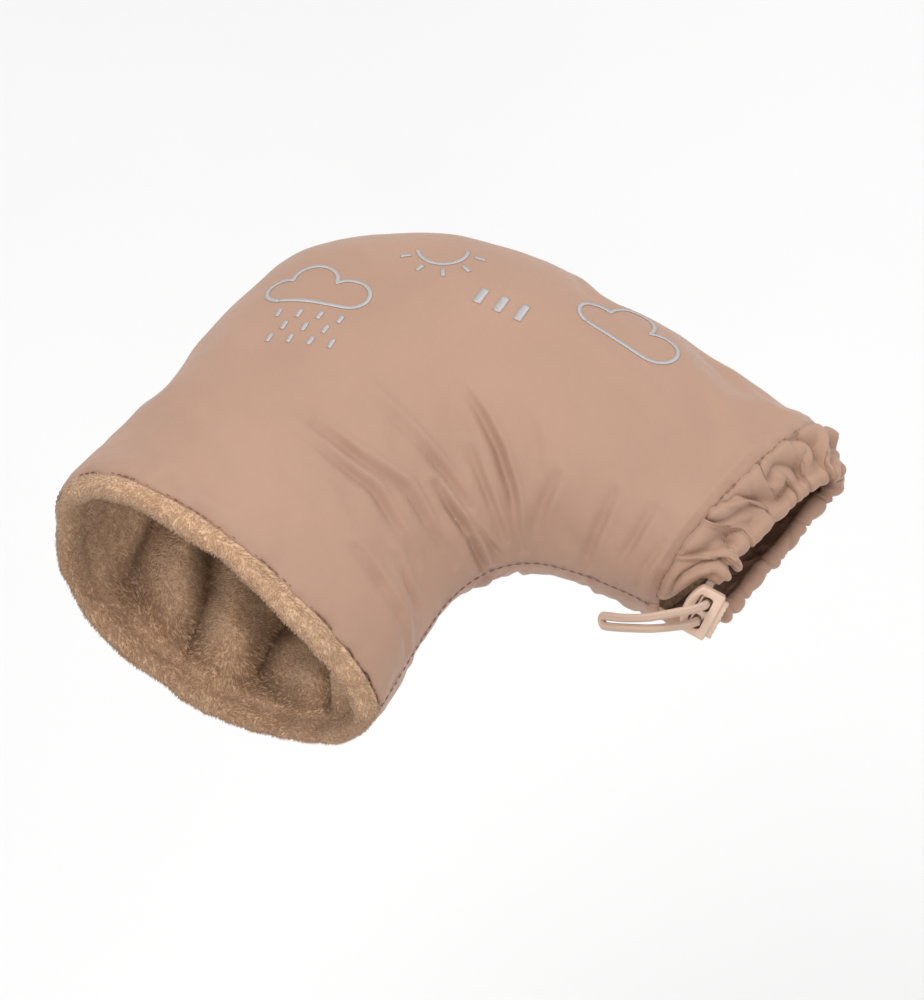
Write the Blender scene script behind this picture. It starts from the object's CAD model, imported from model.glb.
"""Looks of a padded hand warmer muff for a handlebar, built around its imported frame."""

from __future__ import annotations

import logging
import math
from dataclasses import dataclass
from enum import Enum

import bmesh
import bpy
import numpy as np
from mathutils import Matrix, Vector, noise
from mathutils.bvhtree import BVHTree


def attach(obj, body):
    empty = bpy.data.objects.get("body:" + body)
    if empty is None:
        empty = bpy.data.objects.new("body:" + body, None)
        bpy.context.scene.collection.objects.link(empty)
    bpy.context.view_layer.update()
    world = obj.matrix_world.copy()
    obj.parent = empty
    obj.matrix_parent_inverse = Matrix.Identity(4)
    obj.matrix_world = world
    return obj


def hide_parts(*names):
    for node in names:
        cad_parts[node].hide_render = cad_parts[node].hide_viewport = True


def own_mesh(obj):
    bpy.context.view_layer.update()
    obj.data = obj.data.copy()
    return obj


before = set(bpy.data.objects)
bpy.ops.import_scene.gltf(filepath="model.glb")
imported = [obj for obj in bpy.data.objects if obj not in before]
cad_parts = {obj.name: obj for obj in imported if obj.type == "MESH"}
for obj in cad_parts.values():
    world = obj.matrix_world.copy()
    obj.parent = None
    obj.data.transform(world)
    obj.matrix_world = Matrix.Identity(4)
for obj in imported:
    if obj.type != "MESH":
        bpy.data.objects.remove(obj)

LOG = logging.getLogger("muff")
MM = 0.001
SEED = 7
Colour = tuple[float, float, float]
Plan = tuple[float, float]
Place = tuple[float, float, float]


class Side(Enum):
    """The half above the side seams and the half below them."""

    TOP = 1
    BOTTOM = -1


class Body(Enum):
    """The bodies that pieces ride on."""

    MUFF = "muff"
    LOCK = "cord_lock"
    PLUNGER = "plunger"


# ---- Small mesh helpers ----


def finish_mesh(name: str, bm: bmesh.types.BMesh, smooth: bool = True) -> bpy.types.Object:
    """Turns a bmesh into an object of the scene.

    Args:
        name: The piece's name.
        bm: The mesh, which is freed.
        smooth: Whether its faces are shaded smooth.

    Returns:
        The new object, at the origin.
    """
    mesh = bpy.data.meshes.new(name)
    for face in bm.faces:
        face.smooth = smooth
    bm.to_mesh(mesh)
    bm.free()
    made = bpy.data.objects.new(name, mesh)
    bpy.context.scene.collection.objects.link(made)
    return made


def settle(piece: bpy.types.Object) -> None:
    """Applies every modifier of a piece to its mesh.

    Args:
        piece: The object whose modifiers become part of its mesh.
    """
    graph = bpy.context.evaluated_depsgraph_get()
    mesh = bpy.data.meshes.new_from_object(piece.evaluated_get(graph), depsgraph=graph)
    piece.modifiers.clear()
    piece.data = mesh
    mesh.name = piece.name


def thicken(piece: bpy.types.Object, thickness: float, offset: float = -1.0) -> None:
    """Gives an open sheet its thickness.

    Args:
        piece: The sheet, with its faces pointing outwards.
        thickness: Thickness in millimetres.
        offset: -1 grows it inwards, 1 outwards.
    """
    wall = piece.modifiers.new("thickness", "SOLIDIFY")
    wall.thickness = thickness * MM
    wall.offset = offset
    settle(piece)


def outward(points: np.ndarray, flip: bool) -> np.ndarray:
    """Unit normals of a grid of points.

    Args:
        points: Array of rows by columns by 3.
        flip: Whether the normals point the other way.

    Returns:
        An array of the same shape.
    """
    along = np.gradient(points, axis=0)
    across = np.gradient(points, axis=1)
    normal = np.cross(along, across)
    normal /= np.linalg.norm(normal, axis=-1, keepdims=True) + 1e-12
    return -normal if flip else normal


def grid_sheet(name: str, points: np.ndarray, flip: bool,
               marks: dict[str, np.ndarray] | None = None) -> bpy.types.Object:
    """Makes a sheet from a grid and lays its corners on the given points.

    Args:
        name: The piece's name.
        points: Rows by columns by 3, in millimetres.
        flip: Whether the faces have to be turned to point outwards.
        marks: Values per point that are kept as attributes of the mesh.

    Returns:
        The sheet, with a map named cloth in metres along the fabric.
    """
    rows, cols = points.shape[:2]
    middle = cols // 2
    steps = np.linalg.norm(np.diff(points, axis=1), axis=-1)
    across = np.concatenate([np.zeros((rows, 1)), np.cumsum(steps, axis=1)], axis=1)
    across -= across[:, middle:middle + 1]
    along = np.concatenate([[0.0], np.cumsum(np.linalg.norm(np.diff(points[:, middle], axis=0), axis=-1))])
    bm = bmesh.new()
    cloth = bm.loops.layers.uv.new("cloth")
    layers = {key: bm.verts.layers.float.new(key) for key in (marks or {})}
    bmesh.ops.create_grid(bm, x_segments=cols - 1, y_segments=rows - 1, size=0.5)
    for vert in bm.verts:
        i = round((vert.co.y + 0.5) * (rows - 1))
        j = round((vert.co.x + 0.5) * (cols - 1))
        for loop in vert.link_loops:
            loop[cloth].uv = (across[i, j] * MM, along[i] * MM)
        for key, layer in layers.items():
            vert[layer] = float(marks[key][i, j])
        vert.co = Vector(points[i, j]) * MM
    if flip:
        bmesh.ops.reverse_faces(bm, faces=bm.faces)
    return finish_mesh(name, bm)


def smooth_route(points: np.ndarray, per_span: int) -> np.ndarray:
    """Runs a smooth curve through route points.

    Args:
        points: The route, one row per point.
        per_span: Points made for each stretch of the route.

    Returns:
        The finer route.
    """
    padded = np.vstack([2 * points[0] - points[1], points, 2 * points[-1] - points[-2]])
    fine = []
    for i in range(1, len(padded) - 2):
        a, b, c, d = padded[i - 1:i + 3]
        for u in np.linspace(0, 1, per_span, endpoint=False):
            square = (2 * a - 5 * b + 4 * c - d) * u**2
            cube = (3 * b - a - 3 * c + d) * u**3
            fine.append(0.5 * (2 * b + (c - a) * u + square + cube))
    fine.append(points[-1])
    return np.array(fine)


def route_length(route: np.ndarray) -> float:
    """Length of a route, in its own units."""
    return float(np.linalg.norm(np.diff(route, axis=0), axis=-1).sum())


def tube(name: str, route: np.ndarray, radius: float, sides: int) -> bpy.types.Object:
    """Rolls a grid into a round tube along a route and closes its ends.

    Args:
        name: The piece's name.
        route: The centreline, in millimetres.
        radius: Radius in millimetres.
        sides: Faces around the tube.

    Returns:
        The tube, with a map named along: around it, and along it in metres.
    """
    rings = len(route)
    tangents = np.gradient(route, axis=0)
    tangents /= np.linalg.norm(tangents, axis=-1, keepdims=True)
    run = np.concatenate([[0.0], np.cumsum(np.linalg.norm(np.diff(route, axis=0), axis=-1))])
    upright = np.array([0.1, 0.2, 0.97])
    normals = []
    for tangent in tangents:
        upright = upright - tangent * (upright @ tangent)
        upright /= np.linalg.norm(upright)
        normals.append(upright)
    bm = bmesh.new()
    lay = bm.loops.layers.uv.new("along")
    bmesh.ops.create_grid(bm, x_segments=sides, y_segments=rings - 1, size=0.5)
    for vert in bm.verts:
        i = round((vert.co.y + 0.5) * (rings - 1))
        k = round((vert.co.x + 0.5) * sides)
        for loop in vert.link_loops:
            loop[lay].uv = (k / sides, run[i] * MM)
        turn = 2 * math.pi * (k % sides) / sides
        side = np.cross(tangents[i], normals[i])
        vert.co = Vector(route[i] + radius * (normals[i] * math.cos(turn) + side * math.sin(turn))) * MM
    bmesh.ops.remove_doubles(bm, verts=bm.verts, dist=1e-7)
    bmesh.ops.holes_fill(bm, edges=[e for e in bm.edges if e.is_boundary], sides=0)
    bmesh.ops.recalc_face_normals(bm, faces=bm.faces)
    return finish_mesh(name, bm)


def stitch_line(bm: bmesh.types.BMesh, line: np.ndarray, length: float, gap: float, radius: float) -> int:
    """Sews short raised stitches along a line.

    Args:
        bm: The mesh that takes the stitches.
        line: The seam's line, in millimetres.
        length: Length of one stitch.
        gap: Gap between two stitches.
        radius: Radius of the thread.

    Returns:
        The number of stitches.
    """
    run = np.concatenate([[0.0], np.cumsum(np.linalg.norm(np.diff(line, axis=0), axis=-1))])
    count = int((run[-1] + gap) // (length + gap))
    for k in range(count):
        ends = [np.array([np.interp(s, run, line[:, a]) for a in range(3)])
                for s in (k * (length + gap), k * (length + gap) + length)]
        way = Vector(ends[1] - ends[0])
        middle = Vector((ends[0] + ends[1]) / 2) * MM
        turn = way.to_track_quat("X", "Z").to_matrix().to_4x4()
        shape = Matrix.Diagonal((way.length / 2 * MM, radius * MM, radius * MM, 1.0))
        bmesh.ops.create_uvsphere(bm, u_segments=6, v_segments=5, radius=1.0,
                                  matrix=Matrix.Translation(middle) @ turn @ shape)
    return count


def noise_field(points: np.ndarray, scale: float, seed: float = 0.0) -> np.ndarray:
    """Smooth noise at each point of a grid.

    Args:
        points: Grid of points in millimetres.
        scale: Size of the noise's features in millimetres.
        seed: Shift of the noise, so that two fields differ.

    Returns:
        Values from about -1 to 1.
    """
    flat = points.reshape(-1, 3) / scale + seed
    values = [noise.noise(Vector(p)) for p in flat]
    return np.array(values).reshape(points.shape[:-1]) * 1.6


def spread(field: np.ndarray, rows: int, cols: int) -> np.ndarray:
    """Carries a coarse grid of moves over to a finer grid, smoothly.

    Args:
        field: Coarse rows by columns by 3.
        rows: Rows of the finer grid.
        cols: Columns of the finer grid.

    Returns:
        The finer grid of moves, still nothing along its edges.
    """
    def stretch(a: np.ndarray, count: int) -> np.ndarray:
        x = np.linspace(0, len(a) - 1, count)
        i = np.minimum(x.astype(int), len(a) - 2)
        w = (x - i)[:, None, None]
        return a[i] * (1 - w) + a[i + 1] * w

    out = stretch(stretch(field, rows).swapaxes(0, 1), cols).swapaxes(0, 1)
    for _ in range(8):
        inner = out[1:-1] * 0.5 + (out[:-2] + out[2:]) * 0.25
        out[1:-1] = inner
        inner = out[:, 1:-1] * 0.5 + (out[:, :-2] + out[:, 2:]) * 0.25
        out[:, 1:-1] = inner
    return out


# ---- Finishes ----


class Paint:
    """A node material under construction."""

    def __init__(self, name: str, roughness: float) -> None:
        """Starts a material.

        Args:
            name: The material's name.
            roughness: Roughness of its surface.
        """
        self.material = bpy.data.materials.new(name)
        self.material.use_nodes = True
        self.tree = self.material.node_tree
        self.shader = self.tree.nodes["Principled BSDF"]
        self.shader.inputs["Roughness"].default_value = roughness
        self.place = self.tree.nodes.new("ShaderNodeTexCoord")

    def node(self, kind: str, **settings: object) -> bpy.types.Node:
        """Adds a node and sets its properties."""
        made = self.tree.nodes.new("ShaderNode" + kind)
        for key, value in settings.items():
            setattr(made, key, value)
        return made

    def link(self, out: bpy.types.NodeSocket, into: bpy.types.NodeSocket) -> None:
        """Joins two sockets."""
        self.tree.links.new(out, into)

    def scaled(self, output: str, scale: Place, turn: float = 0.0, uv: str = "") -> bpy.types.NodeSocket:
        """Coordinates, scaled and turned.

        Args:
            output: Object or UV.
            scale: Repeats per metre.
            turn: Turn about Z in degrees.
            uv: Name of the map, where output is UV.

        Returns:
            The vector socket.
        """
        mapping = self.node("Mapping")
        mapping.inputs["Scale"].default_value = scale
        mapping.inputs["Rotation"].default_value = (0, 0, math.radians(turn))
        if uv:
            source = self.node("UVMap", uv_map=uv).outputs["UV"]
        else:
            source = self.place.outputs[output]
        self.link(source, mapping.inputs["Vector"])
        return mapping.outputs["Vector"]

    def noise(self, vector: bpy.types.NodeSocket, scale: float, detail: float = 3.0) -> bpy.types.NodeSocket:
        """A noise texture's value."""
        made = self.node("TexNoise")
        made.inputs["Scale"].default_value = scale
        made.inputs["Detail"].default_value = detail
        self.link(vector, made.inputs["Vector"])
        return made.outputs["Fac"]

    def wave(self, vector: bpy.types.NodeSocket, direction: str, scale: float,
             distortion: float = 0.6) -> bpy.types.NodeSocket:
        """A band texture's value."""
        made = self.node("TexWave", bands_direction=direction)
        made.inputs["Scale"].default_value = scale
        made.inputs["Distortion"].default_value = distortion
        made.inputs["Detail"].default_value = 1.0
        made.inputs["Detail Scale"].default_value = 2.0
        self.link(vector, made.inputs["Vector"])
        return made.outputs["Fac"]

    def math(self, operation: str, a: bpy.types.NodeSocket,
             b: bpy.types.NodeSocket | float) -> bpy.types.NodeSocket:
        """Two values combined."""
        made = self.node("Math", operation=operation)
        self.link(a, made.inputs[0])
        if isinstance(b, float):
            made.inputs[1].default_value = b
        else:
            self.link(b, made.inputs[1])
        return made.outputs[0]

    def ramp(self, value: bpy.types.NodeSocket, stops: list[tuple[float, Colour]]) -> bpy.types.NodeSocket:
        """Colours along a value."""
        made = self.node("ValToRGB")
        elements = made.color_ramp.elements
        while len(elements) < len(stops):
            elements.new(0.5)
        for element, (position, colour) in zip(elements, stops):
            element.position = position
            element.color = (*colour, 1.0)
        self.link(value, made.inputs["Fac"])
        return made.outputs["Color"]

    def mix(self, factor: bpy.types.NodeSocket, a: bpy.types.NodeSocket,
            b: bpy.types.NodeSocket | Colour) -> bpy.types.NodeSocket:
        """Two colours mixed by a factor."""
        made = self.node("Mix", data_type="RGBA")
        self.link(factor, made.inputs["Factor"])
        self.link(a, made.inputs["A"])
        if isinstance(b, tuple):
            made.inputs["B"].default_value = (*b, 1.0)
        else:
            self.link(b, made.inputs["B"])
        return made.outputs["Result"]

    def span(self, value: bpy.types.NodeSocket, low: float, high: float) -> bpy.types.NodeSocket:
        """A value from 0 to 1 carried to a range."""
        made = self.node("MapRange")
        made.inputs["To Min"].default_value = low
        made.inputs["To Max"].default_value = high
        self.link(value, made.inputs["Value"])
        return made.outputs["Result"]

    def colour(self, socket: bpy.types.NodeSocket) -> None:
        """Sets the base colour."""
        self.link(socket, self.shader.inputs["Base Color"])

    def rough(self, socket: bpy.types.NodeSocket) -> None:
        """Sets the roughness."""
        self.link(socket, self.shader.inputs["Roughness"])

    def bump(self, height: bpy.types.NodeSocket, distance: float, strength: float = 1.0) -> None:
        """Adds relief in metres, over any relief added before."""
        made = self.node("Bump")
        made.inputs["Distance"].default_value = distance
        made.inputs["Strength"].default_value = strength
        self.link(height, made.inputs["Height"])
        before = self.shader.inputs["Normal"].links
        if before:
            self.link(before[0].from_socket, made.inputs["Normal"])
        self.link(made.outputs["Normal"], self.shader.inputs["Normal"])

    def sheen(self, weight: float, roughness: float, tint: Colour) -> None:
        """Gives the nap of cloth."""
        self.shader.inputs["Sheen Weight"].default_value = weight
        self.shader.inputs["Sheen Roughness"].default_value = roughness
        self.shader.inputs["Sheen Tint"].default_value = (*tint, 1.0)


def shade(colour: Colour, factor: float) -> Colour:
    """A colour made lighter or darker."""
    return tuple(min(1.0, c * factor) for c in colour)


@dataclass(frozen=True)
class ShellCloth:
    """Finely woven matt outer cloth, a little darker and rubbed where it is sewn."""

    name: str = "shell_cloth"
    colour: Colour = (0.415, 0.247, 0.172)
    threads_per_metre: float = 4400.0

    def material(self) -> bpy.types.Material:
        """Makes the cloth's material."""
        paint = Paint(self.name, 0.62)
        cloth = paint.scaled("UV", (self.threads_per_metre / 20,) * 3, 0.0, "cloth")
        warp = paint.wave(cloth, "X", 20.0 / math.tau)
        weft = paint.wave(cloth, "Y", 20.0 / math.tau)
        weave = paint.math("MULTIPLY", warp, weft)
        place = paint.scaled("Object", (1.0, 1.0, 1.0))
        broad = paint.noise(place, 22.0)
        slub = paint.noise(paint.scaled("UV", (60.0, 900.0, 1.0), 0.0, "cloth"), 2.0)
        tone = paint.ramp(broad, [(0.3, shade(self.colour, 0.95)), (0.7, shade(self.colour, 1.05))])
        tone = paint.mix(paint.span(weave, 0.1, 0.0), tone, shade(self.colour, 0.6))
        tone = paint.mix(paint.span(slub, 0.0, 0.14), tone, shade(self.colour, 1.22))
        sewn = paint.node("Attribute", attribute_name="sewn").outputs["Fac"]
        worn = paint.math("MULTIPLY", sewn, paint.span(paint.noise(place, 240.0), 0.1, 0.45))
        paint.colour(paint.mix(worn, tone, shade(self.colour, 0.72)))
        paint.rough(paint.span(paint.noise(place, 90.0), 0.5, 0.72))
        paint.bump(weave, 0.00008, 0.6)
        paint.bump(paint.noise(place, 75.0, 5.0), 0.0016, 0.4)
        paint.sheen(0.25, 0.45, (1.0, 0.9, 0.84))
        return paint.material


@dataclass(frozen=True)
class PlushGround:
    """The matted ground of the plush, between its fibres."""

    name: str = "plush_ground"
    dark: Colour = (0.42, 0.225, 0.12)
    light: Colour = (0.76, 0.52, 0.34)

    def material(self) -> bpy.types.Material:
        """Makes the ground's material."""
        paint = Paint(self.name, 0.95)
        place = paint.scaled("Object", (1.0, 1.0, 1.0))
        nap = paint.noise(place, 420.0, 4.0)
        patches = paint.noise(place, 45.0, 3.0)
        tone = paint.ramp(nap, [(0.35, self.dark), (0.65, self.light)])
        crest = paint.node("Attribute", attribute_name="crest").outputs["Fac"]
        raised = paint.span(crest, 0.25, 1.0)
        valley = paint.ramp(nap, [(0.35, shade(self.dark, 0.35)), (0.65, self.dark)])
        pressed = paint.mix(raised, valley, tone)
        paint.colour(paint.mix(paint.span(patches, 0.0, 0.3), pressed, shade(self.light, 1.1)))
        paint.bump(nap, 0.0016, 0.9)
        paint.bump(patches, 0.003, 0.4)
        paint.sheen(0.2, 0.5, (1.0, 0.8, 0.62))
        return paint.material


@dataclass(frozen=True)
class PlushPile:
    """The fibres of the plush, darker at the root and golden at the tip."""

    name: str = "plush_pile"
    root: Colour = (0.44, 0.235, 0.125)
    warm: Colour = (0.58, 0.30, 0.155)
    pale: Colour = (0.95, 0.70, 0.49)

    def material(self) -> bpy.types.Material:
        """Makes the fibres' material."""
        paint = Paint(self.name, 0.7)
        place = paint.scaled("Object", (1.0, 1.0, 1.0))
        crest = paint.node("Attribute", attribute_name="crest").outputs["Fac"]
        lay = paint.math("ADD", paint.span(paint.noise(place, 55.0, 4.0), -0.9, 0.9), crest)
        deep = paint.ramp(paint.noise(place, 900.0), [(0.3, shade(self.warm, 0.8)), (0.7, self.warm)])
        tip = paint.mix(lay, deep, self.pale)
        up = paint.node("Attribute", attribute_name="tip").outputs["Fac"]
        base = paint.ramp(up, [(0.0, (0.0, 0.0, 0.0)), (0.75, (1.0, 1.0, 1.0))])
        root = paint.ramp(crest, [(0.0, shade(self.root, 0.5)), (0.8, self.root)])
        deep = paint.ramp(crest, [(0.0, shade(self.root, 0.28)), (0.8, shade(self.root, 0.7))])
        open_pile = paint.ramp(crest, [(0.0, (0.0, 0.0, 0.0)), (0.45, (1.0, 1.0, 1.0))])
        paint.colour(paint.mix(base, root, paint.mix(open_pile, deep, tip)))
        paint.rough(paint.span(lay, 0.55, 0.85))
        paint.bump(paint.noise(place, 1500.0), 0.0001, 0.5)
        paint.sheen(0.15, 0.4, (1.0, 0.8, 0.62))
        return paint.material


@dataclass(frozen=True)
class WaddingFibre:
    """Loose white fibre fill."""

    name: str = "wadding_fibre"

    def material(self) -> bpy.types.Material:
        """Makes the fill's material."""
        paint = Paint(self.name, 0.95)
        place = paint.scaled("Object", (1.0, 1.0, 1.0))
        fluff = paint.noise(place, 350.0, 6.0)
        paint.colour(paint.ramp(fluff, [(0.3, (0.7, 0.69, 0.66)), (0.7, (0.9, 0.89, 0.87))]))
        paint.bump(fluff, 0.001, 0.8)
        return paint.material


@dataclass(frozen=True)
class BraidedElastic:
    """A braided elastic cord with one line laid along it."""

    name: str = "braided_elastic"
    colour: Colour = (0.66, 0.46, 0.345)
    marker_lines: float = 2.0

    def material(self) -> bpy.types.Material:
        """Makes the cord's material."""
        paint = Paint(self.name, 0.6)
        left = paint.wave(paint.scaled("UV", (6.0, 700.0, 1.0), 0.0, "along"), "DIAGONAL", 1.0, 0.2)
        right = paint.wave(paint.scaled("UV", (-6.0, 700.0, 1.0), 0.0, "along"), "DIAGONAL", 1.0, 0.2)
        braid = paint.math("MAXIMUM", left, right)
        along = paint.scaled("UV", (1.0, 1.0, 1.0), 0.0, "along")
        lines = paint.wave(along, "X", self.marker_lines, 0.0)
        tone = paint.ramp(braid, [(0.2, shade(self.colour, 0.62)), (0.8, shade(self.colour, 1.1))])
        paint.colour(paint.mix(paint.span(lines, 0.35, 0.0), tone, shade(self.colour, 0.6)))
        paint.bump(braid, 0.00025, 0.8)
        paint.bump(paint.noise(paint.scaled("Object", (1.0, 1.0, 1.0)), 1800.0), 0.0002, 0.4)
        paint.sheen(0.3, 0.4, (1.0, 0.9, 0.85))
        return paint.material


@dataclass(frozen=True)
class MouldedPlastic:
    """Satin moulded plastic with faint flow marks and handling scuffs."""

    name: str = "moulded_plastic"
    colour: Colour = (0.64, 0.455, 0.345)

    def material(self) -> bpy.types.Material:
        """Makes the plastic's material."""
        paint = Paint(self.name, 0.38)
        place = paint.scaled("Object", (1.0, 1.0, 1.0))
        flow = paint.noise(place, 120.0, 3.0)
        grain = paint.noise(place, 2600.0, 2.0)
        paint.colour(paint.ramp(flow, [(0.3, shade(self.colour, 0.93)), (0.7, shade(self.colour, 1.06))]))
        paint.rough(paint.span(paint.noise(place, 700.0), 0.3, 0.5))
        paint.bump(grain, 0.00005, 0.6)
        paint.shader.inputs["Subsurface Weight"].default_value = 0.08
        paint.shader.inputs["Subsurface Scale"].default_value = 0.001
        return paint.material


@dataclass(frozen=True)
class SpringSteel:
    """Drawn wire."""

    name: str = "drawn_wire"

    def material(self) -> bpy.types.Material:
        """Makes the wire's material."""
        paint = Paint(self.name, 0.3)
        streaks = paint.wave(paint.scaled("UV", (8.0, 30.0, 1.0), 0.0, "along"), "X", 1.0, 2.0)
        paint.colour(paint.ramp(streaks, [(0.2, (0.42, 0.43, 0.45)), (0.8, (0.62, 0.63, 0.65))]))
        paint.rough(paint.span(streaks, 0.22, 0.4))
        paint.shader.inputs["Metallic"].default_value = 1.0
        paint.bump(streaks, 0.00003, 0.5)
        return paint.material


@dataclass(frozen=True)
class TwistedThread:
    """Twisted sewing thread."""

    name: str = "twisted_thread"
    colour: Colour = (0.20, 0.085, 0.055)

    def material(self) -> bpy.types.Material:
        """Makes the thread's material."""
        paint = Paint(self.name, 0.55)
        twist = paint.wave(paint.scaled("Object", (1400.0, 1400.0, 1400.0)), "DIAGONAL", 0.5, 0.4)
        paint.colour(paint.ramp(twist, [(0.2, shade(self.colour, 0.7)), (0.8, shade(self.colour, 1.35))]))
        paint.bump(twist, 0.00008, 0.8)
        paint.sheen(0.3, 0.4, (1.0, 0.9, 0.85))
        return paint.material


@dataclass(frozen=True)
class ReflectiveTransfer:
    """Silver-grey reflective transfer with fine glass beads and small cracks."""

    name: str = "reflective_transfer"
    colour: Colour = (0.47, 0.455, 0.455)

    def material(self) -> bpy.types.Material:
        """Makes the transfer's material."""
        paint = Paint(self.name, 0.42)
        place = paint.scaled("Object", (1.0, 1.0, 1.0))
        beads = paint.node("TexVoronoi")
        beads.inputs["Scale"].default_value = 4200.0
        paint.link(place, beads.inputs["Vector"])
        cracks = paint.noise(place, 800.0, 5.0)
        stops = [(0.1, shade(self.colour, 1.2)), (0.7, shade(self.colour, 0.85))]
        tone = paint.ramp(beads.outputs["Distance"], stops)
        paint.colour(paint.mix(paint.span(cracks, -0.3, 0.5), tone, (0.50, 0.42, 0.38)))
        paint.shader.inputs["Metallic"].default_value = 0.2
        paint.rough(paint.span(cracks, 0.32, 0.55))
        paint.bump(beads.outputs["Distance"], 0.00004, 0.6)
        return paint.material


@dataclass(frozen=True)
class StudioPaper:
    """Plain pale paper under the object."""

    name: str = "studio_paper"

    def material(self) -> bpy.types.Material:
        """Makes the paper's material."""
        paint = Paint(self.name, 0.9)
        place = paint.scaled("Object", (1.0, 1.0, 1.0))
        stops = [(0.3, (0.86, 0.86, 0.86)), (0.7, (0.88, 0.88, 0.88))]
        paint.colour(paint.ramp(paint.noise(place, 3.0), stops))
        return paint.material


def dress(piece: bpy.types.Object, material: bpy.types.Material, slot: str, body: Body, *nodes: str) -> None:
    """Gives a piece its finish, its body and the nodes that it stands for.

    Args:
        piece: The finished piece.
        material: Its material.
        slot: The record's material slot.
        body: The body that it rides on.
        nodes: CAD nodes that it replaces.
    """
    piece.data.materials.clear()
    piece.data.materials.append(material)
    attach(piece, body.value)
    if nodes:
        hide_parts(*nodes)
    LOG.info("%s: %d faces on %s", piece.name, len(piece.data.polygons), body.value)


# ---- The sleeve's form ----


@dataclass(frozen=True)
class Crease:
    """A pressed fold in the outer cloth, in millimetres."""

    line: tuple[Place, ...]
    depth: float
    width: float

    def relief(self, points: np.ndarray) -> np.ndarray:
        """Height of the cloth around the fold.

        Args:
            points: Grid of points.

        Returns:
            The height at each point: a valley with a soft ridge on both sides.
        """
        line = np.array(self.line)
        nearest = np.full(points.shape[:-1], 1e9)
        share = np.zeros(points.shape[:-1])
        side = np.zeros(points.shape[:-1])
        spans = len(line) - 1
        for k in range(spans):
            way = line[k + 1] - line[k]
            s = np.clip(((points - line[k]) @ way) / (way @ way), 0, 1)
            off = points - line[k] - s[..., None] * way
            far = np.linalg.norm(off, axis=-1)
            turn = (way[0] * off[..., 1] - way[1] * off[..., 0]) / (np.linalg.norm(way[:2]) * 1.2)
            closer = far < nearest
            nearest = np.where(closer, far, nearest)
            share = np.where(closer, (k + s) / spans, share)
            side = np.where(closer, np.clip(turn, -1, 1), side)
        fade = np.sin(math.pi * np.clip(share * 0.85 + 0.1, 0, 1)) ** 0.8
        span = nearest / self.width
        near_ridge = 0.85 * np.exp(-(((span - 1.5) / 0.9) ** 2))
        far_ridge = 0.4 * np.exp(-(((span - 2.3) / 1.4) ** 2))
        ridge = near_ridge * (1 + side) / 2 + far_ridge * (1 - side) / 2
        return self.depth * fade * (ridge - np.exp(-(span**2)))


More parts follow.
